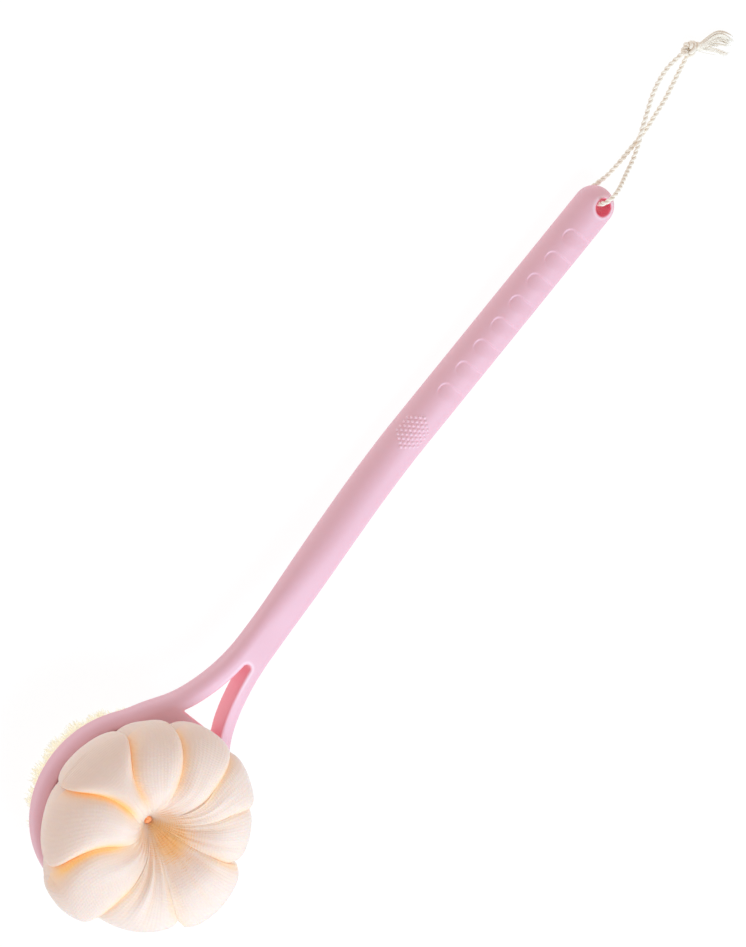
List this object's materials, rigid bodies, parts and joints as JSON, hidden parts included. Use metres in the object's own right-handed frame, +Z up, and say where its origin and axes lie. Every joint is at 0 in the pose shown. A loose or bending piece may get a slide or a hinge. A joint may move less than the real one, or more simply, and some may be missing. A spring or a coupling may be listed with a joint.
{
  "type": "long-handled back scrubber",
  "caption": "Back scrubber with a long curved handle, a petalled mesh puff on one side of its round head, bristles on the other, and a hanging loop.",
  "frame": {"origin": "on the surface the scrubber lies on, under the middle of the box of everything but the hanging loop", "axes": "X runs along the handle, -X at the head and +X at the hanging loop; +Z is up, with the puff on top and the bristles down; Y runs across the handle"},
  "size_m": [0.4762, 0.0942, 0.075],
  "materials": {
    "soft_touch_plastic": "satin moulded plastic, powder pink",
    "bristle_plate_plastic": "satin moulded plastic, powder pink",
    "bristle_filament": "fine cream filaments",
    "puff_net": "fine knitted net, warm cream, translucent",
    "puff_thread": "twisted thread",
    "cotton_cord": "twisted cotton"
  },
  "bodies": {
    "scrubber": {"handle": "soft_touch_plastic", "bristle_plate": "bristle_plate_plastic", "bristle_tuft_01": "bristle_filament", "bristle_tuft_02": "bristle_filament", "bristle_tuft_03": "bristle_filament", "bristle_tuft_04": "bristle_filament", "bristle_tuft_05": "bristle_filament", "bristle_tuft_06": "bristle_filament", "bristle_tuft_07": "bristle_filament", "bristle_tuft_08": "bristle_filament", "bristle_tuft_09": "bristle_filament", "bristle_tuft_10": "bristle_filament", "bristle_tuft_11": "bristle_filament", "bristle_tuft_12": "bristle_filament", "bristle_tuft_13": "bristle_filament", "bristle_tuft_14": "bristle_filament", "bristle_tuft_15": "bristle_filament", "bristle_tuft_16": "bristle_filament", "bristle_tuft_17": "bristle_filament", "bristle_tuft_18": "bristle_filament", "bristle_tuft_19": "bristle_filament", "bristle_tuft_20": "bristle_filament", "bristle_tuft_21": "bristle_filament", "bristle_tuft_22": "bristle_filament", "bristle_tuft_23": "bristle_filament", "bristle_tuft_24": "bristle_filament", "bristle_tuft_25": "bristle_filament", "bristle_tuft_26": "bristle_filament", "bristle_tuft_27": "bristle_filament", "bristle_tuft_28": "bristle_filament", "bristle_tuft_29": "bristle_filament", "bristle_tuft_30": "bristle_filament", "bristle_tuft_31": "bristle_filament", "bristle_tuft_32": "bristle_filament", "bristle_tuft_33": "bristle_filament", "bristle_tuft_34": "bristle_filament", "bristle_tuft_35": "bristle_filament", "bristle_tuft_36": "bristle_filament", "bristle_tuft_37": "bristle_filament", "puff_petal_1": "puff_net", "puff_petal_2": "puff_net", "puff_petal_3": "puff_net", "puff_petal_4": "puff_net", "puff_petal_5": "puff_net", "puff_petal_6": "puff_net", "puff_petal_7": "puff_net", "puff_petal_8": "puff_net", "puff_petal_9": "puff_net", "puff_tie": "puff_thread", "puff_tie_knot": "puff_thread", "puff_gather_ring": "puff_thread"},
    "hanging_loop": {"hanging_cord_front": "cotton_cord", "hanging_cord_back": "cotton_cord", "hanging_knot": "cotton_cord", "hanging_tassel": "cotton_cord"}
  },
  "joints": [
    {"name": "loop_swing", "type": "hinge", "parent": "scrubber", "child": "hanging_loop", "pos_m": [0.1863, 0, 0.009], "axis": [0, 0, 1], "range_deg": [-70, 70]}
  ]
}
